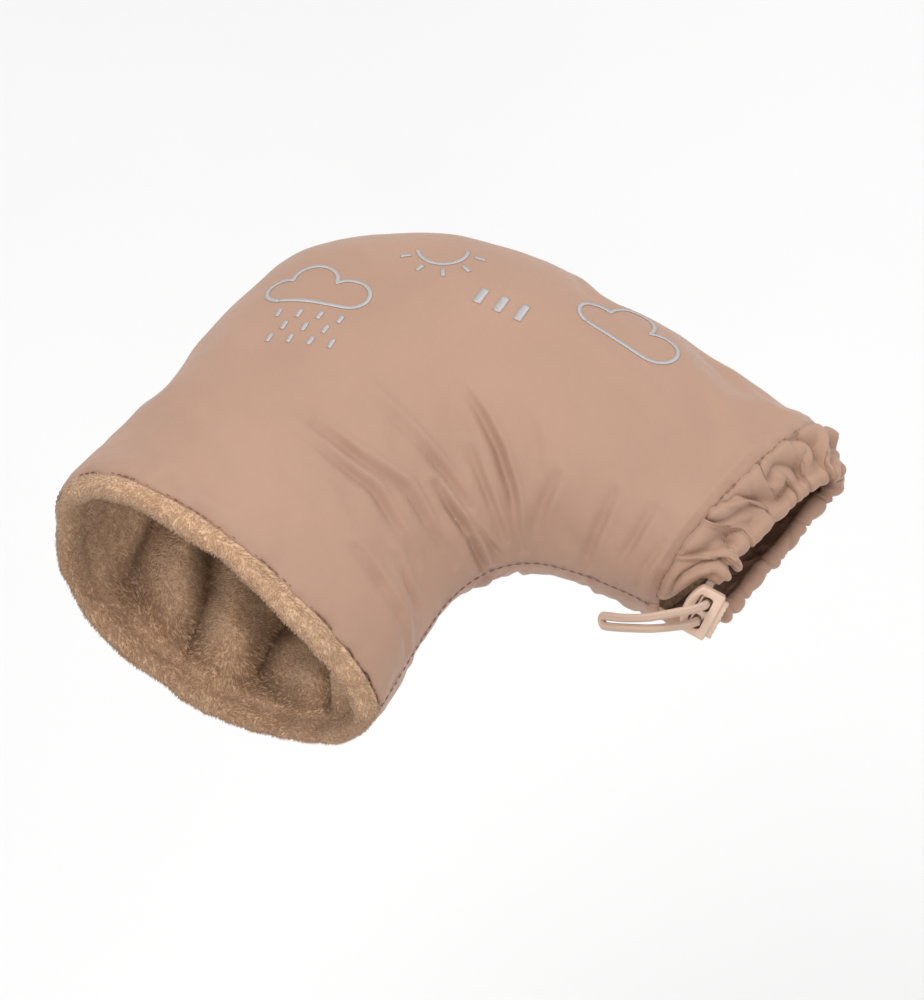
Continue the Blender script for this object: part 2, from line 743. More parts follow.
@dataclass(frozen=True)
class SleeveForm:
    """The elbow-shaped sleeve that every layer follows, in millimetres."""

    arm_reach: float = 206.0
    hand_reach: float = 130.0
    front_reach: float = 69.0
    cuff_length: float = 15.0
    seam_gap: float = 0.2
    hand_out: Place = (0.08, -1.0, 0.0)
    outer_roundness: tuple[Plan, ...] = ((0, 2.5), (0.33, 2.4), (1, 2.4))
    inner_roundness: tuple[Plan, ...] = ((0, 1.7), (0.33, 1.8), (0.66, 2.2), (1, 2.4))
    top_height: tuple[Plan, ...] = ((0, 48), (0.33, 48), (0.5, 41), (0.7, 37), (1, 31))
    bottom_height: tuple[Plan, ...] = ((0, 56), (0.33, 47), (0.5, 40), (0.7, 32), (1, 27))

    def outer_seam(self) -> np.ndarray:
        """Plan points of the outer seam, three Bezier spans."""
        arm, hand, front = self.arm_reach, self.hand_reach, self.front_reach
        return np.array([
            (9 - arm, -hand), (5 - arm, -94), (-arm, -55), (-arm, -18), (1 - arm, 12), (34 - arm, front - 21),
            (-125, front - 12), (-96, front - 7), (-48, front - 3), (-self.cuff_length, front)])

    def inner_seam(self) -> np.ndarray:
        """Plan points of the inner seam, three Bezier spans."""
        return np.array([
            (-58, 11 - self.hand_reach), (-61, -106), (-66, -92), (-69, -75), (-71, -58), (-66, -46),
            (-56, -39), (-44, -32), (-28, -28), (-self.cuff_length, -26)])

    @staticmethod
    def along(curve: np.ndarray, t: np.ndarray) -> np.ndarray:
        """Points of a seam at shares t of its way from the hand edge."""
        span = np.minimum((t * 3).astype(int), 2)
        u = (t * 3 - span)[..., None]
        a, b, c, d = (curve[3 * span + k] for k in range(4))
        return (1 - u) ** 3 * a + 3 * u * (1 - u) ** 2 * b + 3 * u * u * (1 - u) * c + u**3 * d

    def points(self, t: np.ndarray, phi: np.ndarray, inset: np.ndarray, side: Side,
               shift: np.ndarray | float = 0.0) -> np.ndarray:
        """Points of a layer of the sleeve.

        Args:
            t: Share of the way from the hand edge to the bar edge.
            phi: Angle from the outer seam to the inner one, in degrees.
            inset: Distance under the sleeve's surface.
            side: The half.
            shift: Distance out of the hand opening.

        Returns:
            The points, in millimetres.
        """
        t, phi, inset, shift = np.broadcast_arrays(
            np.asarray(t, float), np.radians(phi), np.asarray(inset, float), np.asarray(shift, float))
        outer, inner = self.along(self.outer_seam(), t), self.along(self.inner_seam(), t)
        half = np.linalg.norm(outer - inner, axis=-1) / 2
        across = (outer - inner) / (2 * half[..., None])
        cosine, sine = np.cos(phi), np.clip(np.sin(phi), 0, None)
        tables = [np.array(x) for x in (self.outer_roundness, self.inner_roundness)]
        rounds = [np.interp(t, x[:, 0], x[:, 1]) for x in tables]
        power = 2 / np.where(cosine > 0, *rounds)
        high = np.array(self.top_height if side is Side.TOP else self.bottom_height, float)
        x = np.sign(cosine) * np.abs(cosine) ** power * (half - inset)
        z = sine**power * (np.interp(t, high[:, 0], high[:, 1]) - inset)
        out = np.empty(t.shape + (3,))
        out[..., :2] = (outer + inner) / 2 + across * x[..., None]
        out[..., 2] = side.value * (self.seam_gap / 2 + z)
        return out + np.array(self.hand_out) * shift[..., None]


    def overlap(self, phi: np.ndarray) -> np.ndarray:
        """How far the shell's hand edge reaches over the lip, most at the outer seam."""
        return 6.0 * np.exp(-((phi / 40.0) ** 2))

    def reach(self, phi: np.ndarray, side: Side) -> np.ndarray:
        """How far the whole hand rim stands out, most under the hand.

        Args:
            phi: Angles across the sleeve, in degrees.
            side: The half.

        Returns:
            The distance out of the opening at each angle.
        """
        angle = np.radians(phi)
        under = 13.0 * np.sin(angle) ** 0.9 * (0.58 + 0.42 * np.cos(angle)) if side is Side.BOTTOM else 0.0
        return 4.0 * np.exp(-((phi / 40.0) ** 2)) + under


FORM = SleeveForm()


@dataclass(frozen=True)
class PaddedShell:
    """One half of the sleeve: outer cloth over its wadding."""

    side: Side
    cloth_t: float = 0.8
    rows: int = 190
    cols: int = 144
    puff_rows: int = 46
    puff_cols: int = 36
    puff_cap: float = 5.0
    pressure: float = 3.0
    creases: tuple[Crease, ...] = (
        Crease(((-110, -21, 39), (-96, -25, 36), (-85, -29, 32), (-74, -35, 26), (-62, -42, 6)), 2.8, 1.9),
        Crease(((-92, -36, 34), (-81, -41, 27), (-73, -44, 21), (-66, -46, 11)), 1.3, 1.5),
        Crease(((-133, -49, 47), (-115, -49, 43), (-102, -49, 37), (-92, -49, 32), (-79, -50, 24)), 2.2, 2.0),
        Crease(((-91, -54, 32), (-84, -55, 26), (-74, -55, 17), (-68, -55, 4), (-68, -54, 0)), 3.0, 1.7),
        Crease(((-131, -72, 48), (-111, -70, 43), (-96, -65, 36), (-83, -66, 26), (-73, -65, 12)), 2.2, 2.2),
        Crease(((-139, -78, 48), (-117, -77, 45), (-102, -75, 40), (-91, -77, 33), (-77, -78, 21)), 2.0, 1.9),
        Crease(((-92, -95, 36), (-81, -95, 28), (-72, -96, 18), (-65, -99, 5)), 1.8, 2.0),
        Crease(((-83, -84, 28), (-75, -86, 20), (-69, -87, 10)), 1.3, 1.6),
        Crease(((-64, -23, 29), (-63, -30, 23), (-60, -38, 14)), 1.4, 2.2),
        Crease(((-77, -52, 21), (-70, -51, 13), (-65, -48, 4)), 1.2, 1.5),
        Crease(((-45, -14, 28), (-43, -23, 22), (-42, -30, 13), (-43, -32, 2)), 1.5, 2.0),
        Crease(((-31, -10, 28), (-30, -20, 22), (-31, -27, 11)), 1.3, 1.8),
        Crease(((-21, -16, 23), (-22, -23, 16), (-22, -26, 6)), 1.1, 1.6),
        Crease(((-86, -14, 36), (-76, -20, 33), (-69, -28, 28)), 0.7, 3.0),
        Crease(((-177, -87, 40), (-146, -91, 47), (-111, -92, 44), (-96, -97, 38)), 0.8, 3.4),
        Crease(((-184, -113, 35), (-145, -125, 47), (-114, -123, 46)), 0.7, 3.6),
        Crease(((-93, 17, 37), (-65, 19, 35), (-37, 14, 33)), 0.7, 3.4),
        Crease(((-124, 54, 24), (-104, 44, 34), (-84, 34, 37)), 0.7, 3.6),
        Crease(((-188, 0, 26), (-176, -6, 36), (-160, -14, 42)), 0.7, 4.0),
    )

    def edge_roll(self, t: np.ndarray) -> np.ndarray:
        """How far the cloth turns in at its two sewn edges."""
        bar = np.clip((t - 0.982) / 0.018, 0, 1)
        hand = np.clip((0.012 - t) / 0.012, 0, 1)
        return 2.6 * bar**2 + 1.0 * hand**2

    def base(self, rows: int, cols: int) -> tuple[np.ndarray, np.ndarray, np.ndarray]:
        """The sleeve's surface before it is puffed.

        Args:
            rows: Rows along the sleeve.
            cols: Columns across it.

        Returns:
            Shares along the sleeve, angles across it, and the points.
        """
        t, phi = np.meshgrid(np.linspace(0, 1, rows), np.linspace(0, 180, cols), indexing="ij")
        shift = (FORM.overlap(phi) + FORM.reach(phi, self.side)) * np.clip(1 - t / 0.10, 0, 1) ** 1.3
        return t, phi, FORM.points(t, phi, self.edge_roll(t) + 0.4, self.side, shift)

    def puffed(self) -> np.ndarray:
        """Blows the coarse cloth up over its wadding, held along its seams.

        Returns:
            How far each coarse point moved, in millimetres.
        """
        _, _, points = self.base(self.puff_rows, self.puff_cols)
        piece = grid_sheet("puff_trial", points, self.side is Side.BOTTOM)
        group = piece.vertex_groups.new(name="held")
        index = {}
        for vert in piece.data.vertices:
            distances = np.linalg.norm(points - np.array(vert.co) / MM, axis=-1)
            index[vert.index] = np.unravel_index(int(distances.argmin()), distances.shape)
        for number, (i, j) in index.items():
            ring = min(i, j, self.puff_rows - 1 - i, self.puff_cols - 1 - j)
            if ring < 2:
                group.add([number], 1.0 if ring == 0 else 0.4, "REPLACE")
        cloth = piece.modifiers.new("puff", "CLOTH")
        cloth.settings.vertex_group_mass = "held"
        cloth.settings.quality = 5
        cloth.settings.use_pressure = True
        cloth.settings.uniform_pressure_force = self.pressure
        cloth.settings.shrink_min = -0.02
        cloth.settings.bending_stiffness = 0.1
        cloth.settings.effector_weights.gravity = 0.0
        cloth.point_cache.frame_start = 1
        cloth.point_cache.frame_end = 20
        scene = bpy.context.scene
        for number in range(1, 21):
            scene.frame_set(number)
        shown = piece.evaluated_get(bpy.context.evaluated_depsgraph_get())
        moves = np.zeros_like(points)
        for number, place in index.items():
            moves[place] = np.array(shown.data.vertices[number].co) / MM - points[place]
        size = np.linalg.norm(moves, axis=-1, keepdims=True)
        moves *= np.minimum(1.0, self.puff_cap / np.maximum(size, 1e-9))
        scene.frame_set(1)
        bpy.data.objects.remove(piece)
        LOG.info("puffed %s: largest move %.1f mm", self.side.name, float(size.max()))
        return moves

    def surface(self) -> tuple[np.ndarray, np.ndarray]:
        """The creased outer surface.

        Returns:
            The points, and how near each lies to a seam, from 0 to 1.
        """
        t, phi, points = self.base(self.rows, self.cols)
        points = points + spread(self.puffed(), self.rows, self.cols)
        normal = outward(points, self.side is Side.TOP)
        seam_far = np.minimum(np.linalg.norm(points - points[:, :1], axis=-1),
                              np.linalg.norm(points - points[:, -1:], axis=-1))
        edge_far = np.minimum(t, 1 - t) * 230.0
        flat = np.array([1, 1, self.side.value])
        height = sum(c.relief(points * flat) for c in self.creases)
        height = height * (1.0 if self.side is Side.TOP else 0.8)
        hold = np.clip(np.minimum(seam_far, edge_far) / 9.0, 0, 1)
        height = height * np.clip(np.minimum(seam_far / 3.0, edge_far / 6.0), 0, 1)
        height += hold * (0.8 * noise_field(points, 42.0, 3.0) + 0.28 * noise_field(points, 15.0, 9.0))
        pucker = np.exp(-edge_far / 5.0) + 0.6 * np.exp(-seam_far / 4.0)
        fade = np.clip(edge_far / 1.5 + 0.3, 0, 1)
        height += pucker * 0.75 * noise_field(points, 4.6, 5.0) * fade
        height -= 0.7 * np.exp(-((edge_far - 3.2) / 1.2) ** 2) * (t > 0.5)
        ripple = 0.9 * noise_field(points, 11.0, 21.0) + 0.7 * noise_field(points, 4.2, 27.0)
        wavy = ripple[..., None] * np.exp(-edge_far / 3.0)[..., None]
        points = points + normal * height[..., None]
        points[t < 0.5] += (wavy * np.array(FORM.hand_out))[t < 0.5]
        near = np.exp(-np.minimum(seam_far, edge_far) / 3.0)
        return points, near

    def build(self, material: bpy.types.Material, wadding: bpy.types.Material) -> bpy.types.Object:
        """Builds the outer cloth and the wadding under it.

        Args:
            material: The cloth's material.
            wadding: The wadding's material.

        Returns:
            The outer cloth.
        """
        name = self.side.name.lower()
        points, near = self.surface()
        cloth = grid_sheet(f"{name}_outer_cloth", points, self.side is Side.BOTTOM, {"sewn": near})
        thicken(cloth, self.cloth_t)
        dress(cloth, material, "shell_fabric", Body.MUFF, f"{name}_shell")
        t, phi = np.meshgrid(np.linspace(0.02, 0.95, 60), np.linspace(2, 178, 44), indexing="ij")
        fill = grid_sheet(f"{name}_fibre_fill", FORM.points(t, phi, 4.0, self.side), self.side is Side.BOTTOM)
        thicken(fill, 1.3)
        dress(fill, wadding, "wadding", Body.MUFF, f"{name}_padding")
        return cloth


@dataclass(frozen=True)
class PlushLining:
    """One half of the lining: a folded plush sheet with its turned lip and its pile."""

    side: Side
    sheet_t: float = 1.0
    inner_inset: float = 7.4
    fold_depth: float = 14.0
    folds: float = 5.0
    pile_length: float = 1.6
    pile_per_square_metre: float = 2.6e6
    lip: tuple[tuple[float, float, float], ...] = (
        (0.006, 0.0, 1.7), (0.0, 0.6, 1.0), (0.0, 2.0, 0.5), (0.0, 3.6, 0.2), (0.0, 5.2, 0.4),
        (0.0, 6.6, 1.1), (0.0, 7.5, 2.2), (0.0, 7.8, 3.6), (0.0, 7.3, 4.9), (0.0, 6.0, 5.9),
        (0.0, 4.2, 6.5), (0.0, 2.0, 6.8), (0.0, 0.4, 6.9))

    def surface(self) -> tuple[np.ndarray, np.ndarray, np.ndarray]:
        """The plush's face, from under the shell's edge, round the lip and along the inside.

        Returns:
            The points, the share of the full pile at each, and how open each lies, from a pressed
            valley to a crest.
        """
        inside = np.linspace(0.006, 0.984, 92)
        ts = np.concatenate([[p[0] for p in self.lip], inside])
        shifts = np.concatenate([[p[1] for p in self.lip], np.zeros(len(inside))])
        depths = (6.9, self.inner_inset, self.inner_inset, 3.3)
        within = np.interp(inside, (0, 0.08, 0.95, 0.984), depths)
        insets = np.concatenate([[p[2] for p in self.lip], within])
        phis = np.linspace(0.0, 180.0, 150)
        t, phi = np.meshgrid(ts, phis, indexing="ij")
        shift = np.repeat(shifts[:, None], len(phis), 1)
        inset = np.repeat(insets[:, None], len(phis), 1)
        lip_rows = len(self.lip)
        inset[:lip_rows] += 2.2 * FORM.overlap(phi[:lip_rows]) / 6.0
        shift = shift + FORM.reach(phi, self.side) * np.clip(1 - t / 0.10, 0, 1) ** 1.3
        points = FORM.points(t, phi, inset, self.side, shift)
        normal = outward(points, self.side is Side.BOTTOM)
        rise = np.clip((t - 0.0) / 0.06, 0, 1) ** 0.8 * np.clip((0.97 - t) / 0.3, 0, 1)
        rise[:lip_rows] = 0.0
        sway = 0.45 * noise_field(points, 55.0, 13.0)
        puffs = np.abs(np.sin(math.pi * (self.folds * phi / 180 + sway + 0.9 * t))) ** 1.15
        strength = np.clip(0.72 + 0.45 * noise_field(points, 38.0, 17.0), 0.35, 1.1)
        middle = np.sin(np.radians(phi)) ** 0.4
        bulge = rise * puffs * strength * middle
        points = points + normal * (self.fold_depth * bulge)[..., None]
        soft = 0.6 * noise_field(points, 9.0, 23.0) + 0.8 * noise_field(points, 21.0, 31.0)
        hold = np.ones_like(t)
        hold[:4] = np.array([0.0, 0.15, 0.5, 0.8])[:, None]
        points = points + normal * (soft * hold * np.clip(middle * 1.4, 0, 1))[..., None]
        pile = np.clip((0.46 - t) / 0.16, 0, 1)
        pile[:lip_rows] = np.clip((shifts[:lip_rows, None] - 0.9) / 1.2, 0, 1)
        pile[lip_rows - 3:lip_rows] = 1.0
        crest = np.clip(bulge * 1.7, 0, 1) * (1 - np.clip((t - 0.12) / 0.3, 0, 0.55))
        lip_crest = 0.9 - 0.25 * (self.side is Side.BOTTOM) - 0.04 * insets[:lip_rows, None]
        crest[:lip_rows] = np.clip(lip_crest, 0, 1)
        crest[lip_rows:] = np.maximum(crest[lip_rows:], np.clip(0.75 - t[lip_rows:] / 0.035, 0, 1))
        corner = 0.85 * np.exp(-((phi / 34.0) ** 2)) * np.clip(1 - t / 0.12, 0, 1)
        crest[lip_rows:] = np.maximum(crest[lip_rows:], corner[lip_rows:])
        return points, pile, crest

    def fibres(self, sheet: bpy.types.Object) -> bpy.types.Object:
        """Scatters short fibres over the sheet's face.

        Args:
            sheet: The lining's face before it has a thickness, with its pile attribute.

        Returns:
            The fibres as one mesh, each darker at its root.
        """
        bm = bmesh.new()
        tip = bm.verts.layers.float.new("tip")
        length = self.pile_length * MM
        bmesh.ops.create_cone(bm, cap_ends=False, segments=3, radius1=0.00022, radius2=0.0, depth=length,
                              matrix=Matrix.Translation((0, 0, length / 2)))
        for vert in bm.verts:
            vert[tip] = 0.0 if vert.co.z < length / 2 else 1.0
        blade = finish_mesh("pile_blade", bm)
        group = bpy.data.node_groups.new("pile", "GeometryNodeTree")
        group.interface.new_socket(name="Geometry", in_out="INPUT", socket_type="NodeSocketGeometry")
        group.interface.new_socket(name="Geometry", in_out="OUTPUT", socket_type="NodeSocketGeometry")
        nodes, links = group.nodes, group.links

        def add(kind: str) -> bpy.types.Node:
            return nodes.new(kind)

        source, sink = add("NodeGroupInput"), add("NodeGroupOutput")
        scatter = add("GeometryNodeDistributePointsOnFaces")
        scatter.inputs["Seed"].default_value = SEED
        share = add("GeometryNodeInputNamedAttribute")
        share.data_type = "FLOAT"
        share.inputs["Name"].default_value = "pile"
        times = add("ShaderNodeMath")
        times.operation = "MULTIPLY"
        times.inputs[1].default_value = self.pile_per_square_metre
        links.new(share.outputs["Attribute"], times.inputs[0])
        links.new(source.outputs[0], scatter.inputs["Mesh"])
        links.new(times.outputs[0], scatter.inputs["Density"])
        lean = add("FunctionNodeRandomValue")
        lean.data_type = "FLOAT_VECTOR"
        lean.inputs["Min"].default_value = (0.75, -0.3, -0.3)
        lean.inputs["Max"].default_value = (1.25, 0.3, 0.3)
        lean.inputs["Seed"].default_value = SEED + 1
        turn = add("FunctionNodeRotateRotation")
        turn.rotation_space = "LOCAL"
        links.new(scatter.outputs["Rotation"], turn.inputs["Rotation"])
        links.new(lean.outputs[0], turn.inputs["Rotate By"])
        grow = add("FunctionNodeRandomValue")
        grow.data_type = "FLOAT"
        grow.inputs[2].default_value = 0.6
        grow.inputs[3].default_value = 1.15
        grow.inputs["Seed"].default_value = SEED + 2
        place = add("GeometryNodeInstanceOnPoints")
        thing = add("GeometryNodeObjectInfo")
        thing.inputs["Object"].default_value = blade
        links.new(scatter.outputs["Points"], place.inputs["Points"])
        links.new(thing.outputs["Geometry"], place.inputs["Instance"])
        links.new(turn.outputs["Rotation"], place.inputs["Rotation"])
        links.new(grow.outputs[1], place.inputs["Scale"])
        real = add("GeometryNodeRealizeInstances")
        links.new(place.outputs["Instances"], real.inputs["Geometry"])
        links.new(real.outputs["Geometry"], sink.inputs[0])
        pile = bpy.data.objects.new(f"{self.side.name.lower()}_plush_pile", sheet.data.copy())
        bpy.context.scene.collection.objects.link(pile)
        pile.modifiers.new("pile", "NODES").node_group = group
        settle(pile)
        bpy.data.objects.remove(blade)
        return pile

    def build(self, ground: bpy.types.Material, fibre: bpy.types.Material) -> None:
        """Builds the plush sheet and its pile.

        Args:
            ground: Material of the sheet.
            fibre: Material of the fibres.
        """
        name = self.side.name.lower()
        points, share, crest = self.surface()
        sheet = grid_sheet(f"{name}_plush", points, self.side is Side.TOP, {"pile": share, "crest": crest})
        pile = self.fibres(sheet)
        thicken(sheet, self.sheet_t)
        dress(sheet, ground, "plush", Body.MUFF, f"{name}_lining")
        dress(pile, fibre, "plush", Body.MUFF)


@dataclass(frozen=True)
class Mouth:
    """The outline of the gathered cuff around the bar and the cable, in millimetres."""

    mouth_r: float = 14.9
    outer_end_r: float = 9.0
    mouth_spread: float = 51.0
    casing_out: float = 2.7
    top_end: float = 130.0
    bottom_end: float = 152.0

    def outline(self, u: float, side: Side, start: float = 20.0) -> tuple[float, float, float]:
        """A point of the outline.

        Args:
            u: From 0 at the outer end to 1 beside the bar.
            side: The half.
            start: Angle at the outer end.

        Returns:
            Y, Z and the angle of the outward normal in degrees.
        """
        tangent = math.degrees(math.acos((self.mouth_r - self.outer_end_r) / self.mouth_spread))
        end = self.top_end if side is Side.TOP else self.bottom_end
        if u < 0.3:
            turn = start + (tangent - start) * u / 0.3
        else:
            turn = tangent if u < 0.5 else tangent + (end - tangent) * (u - 0.5) / 0.5
        w = min(max((u - 0.3) / 0.2, 0.0), 1.0)
        r = self.outer_end_r + (self.mouth_r - self.outer_end_r) * w
        c, s = math.cos(math.radians(turn)), math.sin(math.radians(turn))
        return self.mouth_spread * (1 - w) + r * c, side.value * r * s, turn

    def sway(self, u: float, side: Side) -> float:
        """How far the gathered hem wanders along the bar at u."""
        fade = min(1.0, 6 * u, 6 * (1 - u))
        return fade * 3.6 * noise.noise(Vector((u * 9.0, side.value * 3.0, 4.2)))

    def swell(self, u: float, side: Side) -> float:
        """How far the gathered hem stands off its outline at u."""
        fade = min(1.0, 6 * u, 6 * (1 - u))
        return fade * 2.4 * abs(noise.noise(Vector((u * 11.0, side.value * 5.0, 9.7))))

    def hem(self, u: float, side: Side, p: float, q: float, start: float = 20.0) -> np.ndarray:
        """A point of the hem, p towards the stem and q outward from its cord's middle."""
        y, z, turn = self.outline(u, side, start)
        c, s = math.cos(math.radians(turn)), math.sin(math.radians(turn))
        q += self.swell(u, side)
        return np.array([p - self.casing_out + self.sway(u, side), y + q * c, z + side.value * q * s])


MOUTH = Mouth()


@dataclass(frozen=True)
class GatheredCuff:
    """One half of the thin cuff, gathered on its drawcord."""

    side: Side
    cloth_t: float = 0.5
    ruffle: float = 5.0
    gathers: float = 7.0
    cols: int = 260
    strip_rows: int = 44
    hem_rows: int = 22

    def even(self, values: np.ndarray, line: np.ndarray) -> np.ndarray:
        """Values that are evenly spaced along a line.

        Args:
            values: A value for each point of the line.
            line: The line's points.

        Returns:
            One value for each column of the cuff.
        """
        run = np.concatenate([[0.0], np.cumsum(np.linalg.norm(np.diff(line, axis=0), axis=-1))])
        return np.interp(np.linspace(0, run[-1], self.cols), run, values)

    def surface(self) -> np.ndarray:
        """The ruffled strip from the padded edge to the hem around the cord."""
        fine = np.linspace(0, 1, 500)
        us = self.even(fine, np.array([MOUTH.hem(u, self.side, 0, 0, 3.0)[1:] for u in fine]))
        phis = self.even(1 + 176 * fine, FORM.points(0.992, 1 + 176 * fine, 2.6, self.side))
        strip = np.linspace(0, 1, self.strip_rows, endpoint=False)
        root = FORM.points(0.992, phis, 2.6, self.side)
        points = np.empty((self.strip_rows + self.hem_rows, self.cols, 3))
        for j, u in enumerate(us):
            start = root[j]
            top = MOUTH.hem(u, self.side, 0.0, MOUTH.casing_out, 3.0)
            over = MOUTH.hem(u, self.side, -7.0, MOUTH.casing_out + 2.2, 3.0)
            out = start + np.array([7.5, 0.0, 0.0]) + (start - top) * np.array([0, 0.02, 0.02])
            for i, w in enumerate(strip):
                near = (1 - w) ** 3 * start + 3 * w * (1 - w) ** 2 * out
                points[i, j] = near + 3 * w * w * (1 - w) * over + w**3 * top
            for i in range(self.hem_rows):
                turn = math.radians(90 - 275 * i / (self.hem_rows - 1))
                points[self.strip_rows + i, j] = MOUTH.hem(
                    u, self.side, MOUTH.casing_out * math.cos(turn), MOUTH.casing_out * math.sin(turn), 3.0)
        return self.ruffled(points, np.linspace(0, 1, self.cols))

    def ruffled(self, points: np.ndarray, us: np.ndarray) -> np.ndarray:
        """Gathers the smooth strip into folds.

        Args:
            points: The smooth strip.
            us: Shares of the way across it, one for each column.

        Returns:
            The strip with its folds, small at the seam and close together at the hem.
        """
        rows = len(points)
        w = np.concatenate([np.linspace(0, 1, self.strip_rows), np.linspace(1, 1.5, rows - self.strip_rows)])
        u, w = np.meshgrid(us, w)
        u, w = u.reshape(rows, -1), w.reshape(rows, -1)
        normal = outward(points, self.side is Side.TOP)
        place = np.stack([u * 9, w * 1.3, np.full_like(u, self.side.value * 2.0)], -1)
        wander = noise_field(place, 1.0, 2.0)
        big = np.abs(np.sin(math.pi * (self.gathers * u + 0.55 * wander + 0.8 * w)))
        small = np.abs(np.sin(math.pi * (self.gathers * 2.3 * u + 0.7 * wander - 0.6 * w)))
        vary = 0.75 + 0.6 * noise_field(np.stack([u * 8, w, w * 0], -1), 1.0, 6.0)
        bulk = np.interp(w, (0, 0.12, 0.45, 0.8, 1.0, 1.5), (0.12, 0.75, 1.0, 0.8, 0.42, 0.1))
        near = np.interp(w, (0, 0.5, 0.9, 1.1, 1.5), (0.2, 0.3, 0.36, 0.26, 0.08))
        ends = np.clip(np.minimum(u, 1 - u) / 0.05, 0.1, 1)
        height = self.ruffle * ends * vary * (bulk * (big**0.7 - 0.45) + near * (small**0.8 - 0.5))
        lean = 2.2 * bulk * ends * np.sin(math.tau * self.gathers * u + 2 * wander)
        skew = np.array([0.0, 1.0, 0.0]) * lean[..., None]
        return points + normal * height[..., None] + skew

    def build(self, material: bpy.types.Material) -> None:
        """Builds the cuff's half.

        Args:
            material: The cloth's material.
        """
        name = self.side.name.lower()
        points = self.surface()
        near = np.zeros(points.shape[:2])
        near[:5] = 1.0
        cuff = grid_sheet(f"{name}_gathered_cuff", points, self.side is Side.BOTTOM, {"sewn": near})
        thicken(cuff, self.cloth_t)
        dress(cuff, material, "shell_fabric", Body.MUFF, f"cuff_{name}")


@dataclass(frozen=True)
class LockFrame:
    """Where the cord lock sits on the bent strands, in millimetres."""

    centre: Place = (2.0, -22.5, 12.0)
    tilt: Place = (40.0, 15.0, 18.0)
    bend_angle: float = 215.0
    bend_reach: float = 9.2
    press_travel: float = 1.6

    def turn(self) -> Matrix:
        """Rotation from the lock's own axes to the frame."""
        x, y, z = (math.radians(a) for a in self.tilt)
        return Matrix.Rotation(z, 3, "Z") @ Matrix.Rotation(y, 3, "Y") @ Matrix.Rotation(x, 3, "X")

    def matrix(self) -> Matrix:
        """From the lock's own axes in metres to the frame in metres."""
        return Matrix.Translation(Vector(self.centre) * MM) @ self.turn().to_4x4()

    def axes(self) -> tuple[np.ndarray, np.ndarray, np.ndarray]:
        """The way of the bend, out of the face, and across."""
        a = math.radians(self.bend_angle)
        way = np.array(self.turn() @ Vector((math.cos(a), math.sin(a), 0)))
        face = np.array(self.turn() @ Vector((0, 0, 1)))
        return way, face, np.cross(face, way)

    def loop_point(self, p: Place) -> np.ndarray:
        """A point along the bend, out of the face and across."""
        way, face, across = self.axes()
        return np.array(self.centre) + p[0] * way + p[1] * face + p[2] * across


LOCK = LockFrame()


@dataclass(frozen=True)
class Drawcord:
    """The elastic cord: its hidden run in the casing and its free loop through the lock."""

    radius: float = 1.5
    window_pitch: float = 6.7
    lead_in: tuple[Place, ...] = ((-2.7, -11, 11.3), (-2.2, -14, 9.6), (-1.3, -17, 9))
    lead_out: tuple[Place, ...] = ((0.2, -22, 5), (-1.4, -19.5, 0), (-2.5, -16.5, -4))
    loop: tuple[Place, ...] = (
        (12, 12.2, -1.9), (17.5, 11, -1.4), (25, 5.5, -1.1), (30, -0.2, -1.1), (33, -4, -1.1),
        (33.76, -5.02, -0.57), (34.07, -5.44, 0.7), (33.76, -5.02, 1.97), (33, -4, 2.5),
        (29.5, 0.4, 2.5), (24, 5.6, 2.5), (16, 9.8, 2.8))

    def strand(self, s: int, angle: float) -> np.ndarray:
        """A point of a strand where it bends through its window."""
        x = LOCK.press_travel / 2 + 0.15
        bend = math.radians(LOCK.bend_angle)
        along = x * math.cos(bend) + s * self.window_pitch / 2 * math.sin(bend)
        across = s * self.window_pitch / 2 * math.cos(bend) - x * math.sin(bend)
        r, a = LOCK.bend_reach - along, math.radians(angle)
        return LOCK.loop_point((LOCK.bend_reach - r * math.cos(a), r * math.sin(a), across))

    def free_route(self) -> np.ndarray:
        """Route of the free loop, from the top casing to the bottom one."""
        angles = range(-24, 81, 13)
        rows = [MOUTH.hem(1, Side.TOP, 0, 0), *self.lead_in]
        rows += [self.strand(1, a) for a in angles]
        rows += [LOCK.loop_point(p) for p in self.loop]
        rows += [self.strand(-1, a) for a in reversed(angles)]
        rows += [*self.lead_out, MOUTH.hem(1, Side.BOTTOM, 0, 0)]
        return np.array(rows, float)

    def hidden_route(self) -> np.ndarray:
        """Route of the run inside the casing."""
        turns = [math.radians(a) for a in (15, 7.5, 0, -7.5, -15)]
        rows = [MOUTH.hem(i / 36, Side.TOP, 0, 0) for i in range(36, -1, -1)]
        rows += [np.array([-MOUTH.casing_out, MOUTH.mouth_spread + MOUTH.outer_end_r * math.cos(a),
                           MOUTH.outer_end_r * math.sin(a)]) for a in turns]
        rows += [MOUTH.hem(i / 36, Side.BOTTOM, 0, 0) for i in range(37)]
        return np.array(rows)

    def build(self, material: bpy.types.Material) -> bpy.types.Object:
        """Builds both runs.

        Args:
            material: The cord's material.

        Returns:
            The free loop.
        """
        hidden = tube("casing_elastic", self.hidden_route(), self.radius, 12)
        dress(hidden, material, "elastic_cord", Body.MUFF, "drawcord")
        route = smooth_route(self.free_route(), 5)
        LOG.info("free loop %.1f mm", route_length(route))
        loop = tube("loop_elastic", route, self.radius, 16)
        dress(loop, material, "elastic_cord", Body.MUFF, "drawcord_loop")
        return loop

    def declare(self) -> None:
        """Says that the free loop is a cord.
        """
        route = smooth_route(self.free_route(), 5) * MM
        tuple(MOUTH.hem(1, Side.TOP, 0, 0) * MM)


